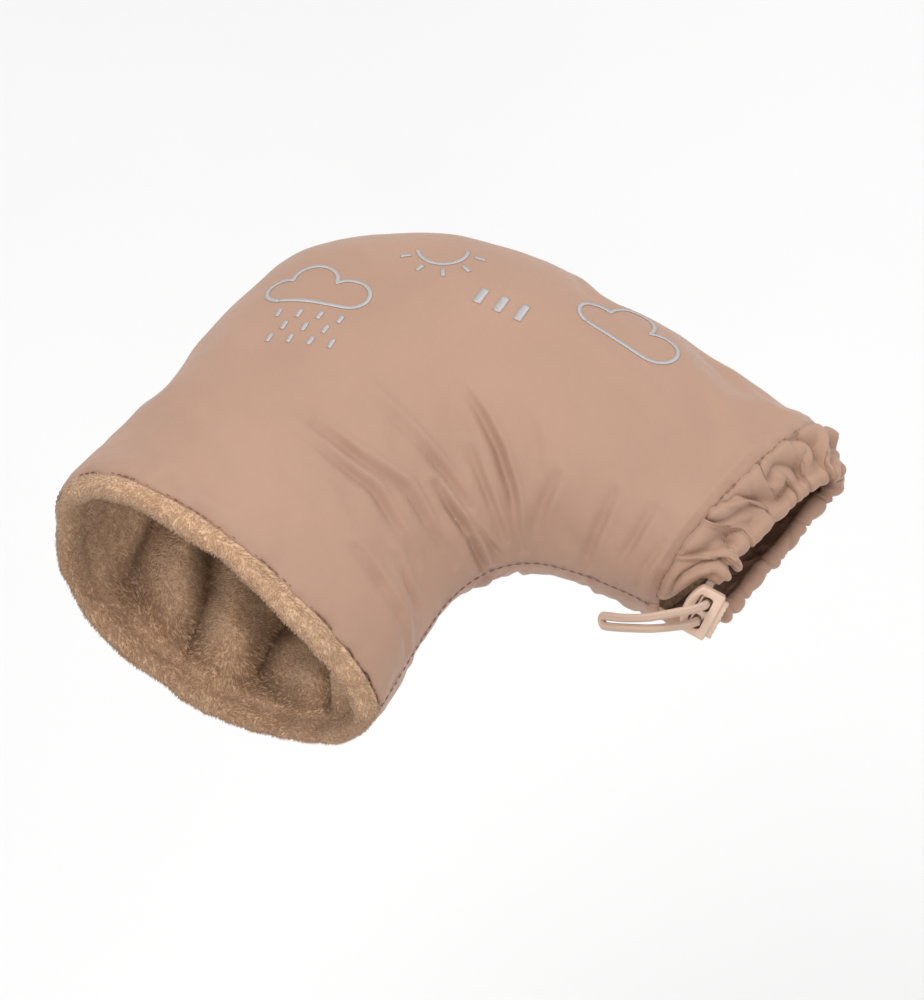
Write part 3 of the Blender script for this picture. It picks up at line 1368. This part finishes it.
@dataclass(frozen=True)
class CordLock:
    """The spring-loaded lock: body, plunger and spring, in millimetres."""

    length: float = 17.0
    width: float = 11.5
    thick: float = 7.0
    bow_r: float = 14.0
    channel_y: float = 6.8
    channel_z: float = 2.45
    channel_end: float = -3.6
    plunger_gap: float = 0.06
    plunger_out: float = 2.0
    window_half: float = 2.6
    window_pitch: float = 6.7
    spring_r: float = 1.5
    wire: float = 0.4
    pocket_end: float = -4.7
    plunger_tail: float = -1.9
    spring_turns: int = 3

    def block(self, name: str, low: Place, high: Place, round_by: float = 0.0) -> bpy.types.Object:
        """A box between two corners, with its edges rounded.

        Args:
            name: The object's name.
            low: Lowest corner in the lock's own axes.
            high: Highest corner.
            round_by: Radius of its edges.

        Returns:
            The box.
        """
        bm = bmesh.new()
        bmesh.ops.create_cube(bm, size=1.0)
        size = Vector(high) - Vector(low)
        bmesh.ops.scale(bm, vec=size * MM, verts=bm.verts)
        bmesh.ops.translate(bm, vec=(Vector(high) + Vector(low)) / 2 * MM, verts=bm.verts)
        if round_by:
            bmesh.ops.bevel(bm, geom=list(bm.edges), offset=round_by * MM, segments=3, profile=0.5,
                            affect="EDGES", material=-1)
        return finish_mesh(name, bm, False)

    def window(self, s: int, shift: float) -> bpy.types.Object:
        """A window's cutter with rounded corners."""
        half = self.window_half
        middle = s * self.window_pitch / 2
        bm = bmesh.new()
        bmesh.ops.create_cube(bm, size=1.0)
        bmesh.ops.scale(bm, vec=Vector((2 * half, 2 * half - 0.2, 30.0)) * MM, verts=bm.verts)
        bmesh.ops.translate(bm, vec=Vector((shift, middle, 0)) * MM, verts=bm.verts)
        upright = [e for e in bm.edges if abs(e.verts[0].co.z - e.verts[1].co.z) > MM]
        bmesh.ops.bevel(bm, geom=upright, offset=1.1 * MM, segments=4, profile=0.5,
                        affect="EDGES", material=-1)
        return finish_mesh("window_cutter", bm, False)

    def cut(self, piece: bpy.types.Object, cutter: bpy.types.Object, operation: str = "DIFFERENCE") -> None:
        """Cuts a piece by another, which is then removed."""
        knife = piece.modifiers.new("cut", "BOOLEAN")
        knife.operation = operation
        knife.solver = "EXACT"
        knife.object = cutter
        settle(piece)
        bpy.data.objects.remove(cutter)

    def soften(self, piece: bpy.types.Object, radius: float) -> None:
        """Rounds a cut piece's sharp edges and lays it in the lock's place.

        Args:
            piece: The piece, in the lock's own axes.
            radius: Radius of its edges in millimetres.
        """
        edge = piece.modifiers.new("edges", "BEVEL")
        edge.width = radius * MM
        edge.segments = 2
        edge.limit_method = "ANGLE"
        edge.angle_limit = math.radians(38)
        edge.harden_normals = True
        settle(piece)
        piece.data.transform(LOCK.matrix())
        for polygon in piece.data.polygons:
            polygon.use_smooth = True
        piece.data.update()

    def body(self) -> bpy.types.Object:
        """The body: a bowed block with its channel and its two windows."""
        half_w, half_l, half_t = self.width / 2, self.length / 2, self.thick / 2
        made = self.block("lock_body", (-half_w, -half_l, -half_t), (half_w, half_l, half_t))
        bm = bmesh.new()
        bmesh.ops.create_cone(bm, cap_ends=True, segments=96, radius1=self.bow_r * MM,
                              radius2=self.bow_r * MM, depth=0.03,
                              matrix=Matrix.Translation(Vector((self.bow_r - half_w, 0, 0)) * MM))
        self.cut(made, finish_mesh("bow_cutter", bm, False), "INTERSECT")
        rim = made.modifiers.new("rim", "BEVEL")
        rim.width = 0.75 * MM
        rim.segments = 3
        rim.limit_method = "ANGLE"
        rim.angle_limit = math.radians(38)
        settle(made)
        y, z = self.channel_y, self.channel_z
        self.cut(made, self.block("channel", (self.channel_end, -y, -z), (self.width, y, z)))
        bm = bmesh.new()
        inward = Matrix.Translation(Vector((self.pocket_end + 1.5, 0, 0)) * MM)
        across = inward @ Matrix.Rotation(math.pi / 2, 4, "Y")
        bmesh.ops.create_cone(bm, cap_ends=True, segments=32, radius1=(self.spring_r + 0.4) * MM,
                              radius2=(self.spring_r + 0.4) * MM, depth=3 * MM, matrix=across)
        self.cut(made, finish_mesh("pocket", bm, False))
        for s in (-1, 1):
            self.cut(made, self.window(s, 0.0))
        self.soften(made, 0.22)
        return made

    def plunger(self) -> bpy.types.Object:
        """The plunger: a slide with two windows and grip ribs on its head."""
        y, z = self.channel_y - self.plunger_gap, self.channel_z - self.plunger_gap
        front = self.width / 2 + self.plunger_out
        made = self.block("lock_plunger", (self.plunger_tail, -y, -z), (front, y, z))
        for s in (-1, 1):
            self.cut(made, self.window(s, LOCK.press_travel))
        for k in range(-3, 4):
            groove = self.block("groove", (front - 0.25, k * 1.7 - 0.35, -9), (front + 1, k * 1.7 + 0.35, 9))
            self.cut(made, groove)
        self.soften(made, 0.16)
        return made

    def spring(self) -> bpy.types.Object:
        """The coil spring behind the plunger, with closed ends."""
        start = self.pocket_end + self.wire / 2 + 0.03
        end = self.plunger_tail - self.wire / 2 - 0.03
        steps = self.spring_turns * 20
        turn = LOCK.turn()
        coil = []
        for i in range(steps + 1):
            a = math.tau * i / 20
            ahead = start + (end - start) * i / steps
            local = Vector((ahead, self.spring_r * math.cos(a), self.spring_r * math.sin(a)))
            coil.append(np.array(Vector(LOCK.centre) + turn @ local))
        return tube("lock_spring", np.array(coil), self.wire / 2, 8)

    def build(self, plastic: bpy.types.Material, steel: bpy.types.Material) -> list[bpy.types.Object]:
        """Builds the lock.

        Args:
            plastic: Material of the body and the plunger.
            steel: Material of the spring.

        Returns:
            Body, plunger and spring.
        """
        body, plunger, spring = self.body(), self.plunger(), self.spring()
        dress(body, plastic, "lock_plastic", Body.LOCK, "cord_lock_body")
        dress(plunger, plastic, "lock_plastic", Body.PLUNGER, "cord_lock_plunger")
        dress(spring, steel, "spring_steel", Body.LOCK, "cord_lock_spring")
        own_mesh(spring)
        return [body, plunger, spring]


@dataclass(frozen=True)
class Stitching:
    """Every visible line of thread, sewn stitch by stitch, in millimetres."""

    stitch: float = 2.3
    gap: float = 0.9
    thread_r: float = 0.24

    def run(self, name: str, lines: list[np.ndarray], node: str, material: bpy.types.Material) -> None:
        """Sews one named seam.

        Args:
            name: The piece's name.
            lines: The seam's lines.
            node: The CAD thread that it replaces.
            material: The thread's material.
        """
        bm = bmesh.new()
        count = sum(stitch_line(bm, line, self.stitch, self.gap, self.thread_r) for line in lines)
        LOG.info("%s: %d stitches", name, count)
        dress(finish_mesh(name, bm), material, "sewing_thread", Body.MUFF, node)

    def build(self, material: bpy.types.Material, matched: bpy.types.Material) -> None:
        """Sews all the seams.

        Args:
            material: The dark thread of the side seams.
            matched: The thread in the cloth's colour.
        """
        t = np.linspace(0, 1, 160)
        for name, phi in (("outer", 0.0), ("inner", 180.0)):
            line = FORM.points(t, phi, -0.05, Side.TOP)
            line[:, 2] = 0.3
            self.run(f"{name}_seam_stitches", [line], f"{name}_seam_thread", material)
        phi = np.linspace(2, 178, 160)
        hand = [FORM.points(0.004, phi, 0.9, s, FORM.overlap(phi) + FORM.reach(phi, s)) for s in Side]
        self.run("hand_edge_stitches", hand, "hand_edge_thread", material)
        bar = [FORM.points(0.996, phi, 2.0, s) for s in Side]
        self.run("cuff_seam_stitches", bar, "cuff_seam_thread", matched)
        hems = [np.array([MOUTH.hem(u, s, -MOUTH.casing_out - 1.2, MOUTH.casing_out + 0.9)
                          for u in np.linspace(0.02, 0.98, 90)])
                for s in Side]
        self.run("casing_stitches", hems, "casing_thread", matched)

    def anchor(self, material: bpy.types.Material, turns: int = 4) -> None:
        """Winds the band that holds the cord at the cuff's outer end.

        Args:
            material: The thread's material.
            turns: Turns of thread around the cord.
        """
        bm = bmesh.new()
        middle = Vector((-MOUTH.casing_out, MOUTH.mouth_spread + MOUTH.outer_end_r, 0.0))
        for k in range(turns):
            made = bmesh.ops.create_circle(bm, cap_ends=False, segments=8, radius=0.26 * MM,
                                           matrix=Matrix.Rotation(math.pi / 2, 4, "X"))
            bmesh.ops.translate(bm, vec=Vector((1.75, 0, -0.75 + 0.5 * k)) * MM, verts=made["verts"])
            edges = {e for v in made["verts"] for e in v.link_edges}
            bmesh.ops.spin(bm, geom=[*made["verts"], *edges], cent=(0, 0, 0), axis=(0, 0, 1), angle=math.tau,
                           steps=24, use_merge=True)
        bmesh.ops.remove_doubles(bm, verts=bm.verts, dist=1e-7)
        bmesh.ops.translate(bm, vec=middle * MM, verts=bm.verts)
        bmesh.ops.recalc_face_normals(bm, faces=bm.faces)
        dress(finish_mesh("anchor_wraps", bm), material, "sewing_thread", Body.MUFF, "cord_anchor_stitch")


@dataclass(frozen=True)
class Prints:
    """The reflective transfers on the top, laid on the creased cloth, in millimetres."""

    line: float = 1.5
    drop: float = 1.6
    lift: float = 0.12
    thick: float = 0.12
    rain_place: Place = (-172, -25, 28)
    sun_place: Place = (-156, 21, 222)
    mark_place: Place = (-121, 13, 15)
    plain_place: Place = (-83, 41, 6)

    @staticmethod
    def arc(centre: Plan, r: float, start: float, end: float, steps: int = 16) -> list[Plan]:
        """Points along an arc."""
        turns = np.radians(np.linspace(start, end, steps + 1))
        return [(centre[0] + r * math.cos(a), centre[1] + r * math.sin(a)) for a in turns]

    def cloud(self, size: float) -> list[Plan]:
        """Outline of a puffed cloud: three round humps over a flat base."""
        humps = self.arc((-12, -3), 5.4, 270, 69) + self.arc((-3, 3.4), 7.2, 191, -6)
        humps += self.arc((9.5, -1.6), 6.8, 142, -90)
        base = [(float(u), -8.4) for u in np.linspace(9, -12, 14)]
        return [(u * size, v * size) for u, v in humps + base]

    def ribbon(self, bm: bmesh.types.BMesh, over: BVHTree, place: Place, curve: list[Plan],
               width: float) -> None:
        """Lays a ribbon of even width on the cloth.

        Args:
            bm: The mesh that takes it.
            over: The cloth's surface.
            place: The print's plan place and turn.
            curve: The ribbon's middle line in the print's own plane.
            width: The ribbon's width.
        """
        path = np.array(curve)
        run = np.concatenate([[0.0], np.cumsum(np.linalg.norm(np.diff(path, axis=0), axis=-1))])
        count = max(3, int(run[-1] / 0.8))
        stations = np.linspace(0, run[-1], count + 1)
        fine = np.stack([np.interp(stations, run, path[:, a]) for a in range(2)], -1)
        ways = np.gradient(fine, axis=0)
        ways /= np.linalg.norm(ways, axis=-1, keepdims=True) + 1e-12
        c, s = math.cos(math.radians(place[2])), math.sin(math.radians(place[2]))
        made = bmesh.ops.create_grid(bm, x_segments=count, y_segments=2, size=0.5)
        for vert in made["verts"]:
            i = round((vert.co.x + 0.5) * count)
            reach = vert.co.y * width
            p = fine[i] + reach * np.array([-ways[i][1], ways[i][0]])
            above = Vector((place[0] + c * p[0] - s * p[1], place[1] + s * p[0] + c * p[1], 120.0)) * MM
            hit, normal, _, _ = over.ray_cast(above, Vector((0, 0, -1)))
            vert.co = hit + normal * self.lift * MM

    def build(self, cloth: bpy.types.Object, material: bpy.types.Material) -> None:
        """Builds every print.

        Args:
            cloth: The top's outer cloth.
            material: The transfer's material.
        """
        corners = [v.co for v in cloth.data.vertices]
        over = BVHTree.FromPolygons(corners, [p.vertices for p in cloth.data.polygons])
        falls = [(-11 + 7.5 * k + 3.7 * (row % 2), -13.5 - 6 * row)
                 for row in range(3) for k in range(4 - row % 2)]
        drops = [(self.rain_place, [(u - 0.3 * i, v - 1.3 * i) for i in range(4)], self.drop)
                 for u, v in falls]
        angles = [math.radians(a) for a in range(18, 163, 36)]
        rays = [(self.sun_place, [(r * math.cos(a), r * math.sin(a)) for r in (12, 14, 16)], self.line)
                for a in angles]
        parts = {
            "rain_cloud_print": [(self.rain_place, self.cloud(1.1), self.line)],
            "raindrops_print": drops,
            "sun_print": [(self.sun_place, self.arc((0, 0), 9.0, 0, 180), self.line), *rays],
            "plain_cloud_print": [(self.plain_place, self.cloud(1.15), self.line)],
            "mark_print": [(self.mark_place, [(8.0 * k, 2.0 * i - 4) for i in range(5)], 3.0)
                           for k in (-1, 0, 1)],
        }
        for node, ribbons in parts.items():
            bm = bmesh.new()
            for place, curve, width in ribbons:
                self.ribbon(bm, over, place, curve, width)
            for face in bm.faces:
                if face.normal.z < 0:
                    face.normal_flip()
            piece = finish_mesh(node.replace("_print", "_transfer"), bm)
            thicken(piece, self.thick, 1.0)
            dress(piece, material, "reflective_print", Body.MUFF, node)


@dataclass(frozen=True)
class Studio:
    """Camera, soft lights and a pale floor."""

    azimuth: float = 42.0
    elevation: float = 56.0
    distance: float = 1.3
    aim_right: float = -0.0951
    aim_up: float = 0.0296
    lens: float = 134.3
    floor_z: float = -0.55

    def axes(self) -> tuple[Vector, Vector, Vector]:
        """The camera's right, up and back."""
        a, e = math.radians(self.azimuth), math.radians(self.elevation)
        back = Vector((math.sin(a) * math.cos(e), -math.cos(a) * math.cos(e), math.sin(e)))
        right = Vector((math.cos(a), math.sin(a), 0))
        return right, back.cross(right), back

    def camera(self) -> None:
        """Sets the camera."""
        right, up, back = self.axes()
        data = bpy.data.cameras.new("camera")
        data.lens = self.lens
        data.sensor_width = 36.0
        data.clip_start, data.clip_end = 0.05, 20.0
        camera = bpy.data.objects.new("camera", data)
        target = right * self.aim_right + up * self.aim_up
        turn = Matrix((right, up, back)).transposed().to_4x4()
        camera.matrix_world = Matrix.Translation(target + back * self.distance) @ turn
        bpy.context.scene.collection.objects.link(camera)
        bpy.context.scene.camera = camera

    def lamp(self, name: str, place: Place, size: float, power: float) -> None:
        """Adds a soft area light that faces the object.

        Args:
            name: The light's name.
            place: Where it stands, in metres.
            size: Its side, in metres.
            power: Its power in watts.
        """
        data = bpy.data.lights.new(name, "AREA")
        data.size = size
        data.energy = power
        lamp = bpy.data.objects.new(name, data)
        lamp.location = place
        aim = Vector((-0.1, -0.03, 0)) - Vector(place)
        lamp.rotation_euler = aim.to_track_quat("-Z", "Y").to_euler()
        bpy.context.scene.collection.objects.link(lamp)

    def build(self, paper: bpy.types.Material) -> None:
        """Sets the lights, the floor and the air around them.

        Args:
            paper: The floor's material.
        """
        self.lamp("key_light", (-0.55, -0.35, 1.35), 0.8, 10.0)
        self.lamp("fill_light", (1.1, -0.9, 0.9), 1.2, 7.0)
        self.lamp("back_light", (0.2, 1.2, 0.9), 0.9, 6.0)
        world = bpy.data.worlds.new("studio_air")
        world.use_nodes = True
        air = world.node_tree.nodes["Background"]
        air.inputs["Color"].default_value = (1.0, 1.0, 1.0, 1.0)
        air.inputs["Strength"].default_value = 0.72
        bpy.context.scene.world = world
        bpy.context.scene.view_settings.view_transform = "Standard"
        bm = bmesh.new()
        bmesh.ops.create_grid(bm, x_segments=8, y_segments=8, size=6.0)
        bmesh.ops.translate(bm, vec=(0, 0, self.floor_z), verts=bm.verts)
        floor = finish_mesh("floor", bm)
        floor.data.materials.append(paper)


def main() -> None:
    """Builds the muff piece by piece around its frame."""
    logging.basicConfig(level=logging.INFO, format="%(message)s")
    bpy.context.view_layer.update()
    studio = Studio()
    studio.camera()
    elastic = BraidedElastic().material()
    cord = Drawcord()
    loop = cord.build(elastic)
    lock_pieces = CordLock().build(MouldedPlastic().material(), SpringSteel().material())
    cord.declare()
    cloth, wadding = ShellCloth().material(), WaddingFibre().material()
    shells = {side: PaddedShell(side).build(cloth, wadding) for side in Side}
    ground, pile = PlushGround().material(), PlushPile().material()
    for side in Side:
        PlushLining(side).build(ground, pile)
        GatheredCuff(side).build(cloth)
    thread = TwistedThread().material()
    stitching = Stitching()
    stitching.build(thread, TwistedThread("matched_thread", (0.24, 0.13, 0.085)).material())
    stitching.anchor(thread)
    Prints().build(shells[Side.TOP], ReflectiveTransfer().material())
    studio.build(StudioPaper().material())


if __name__ == "__main__":
    main()
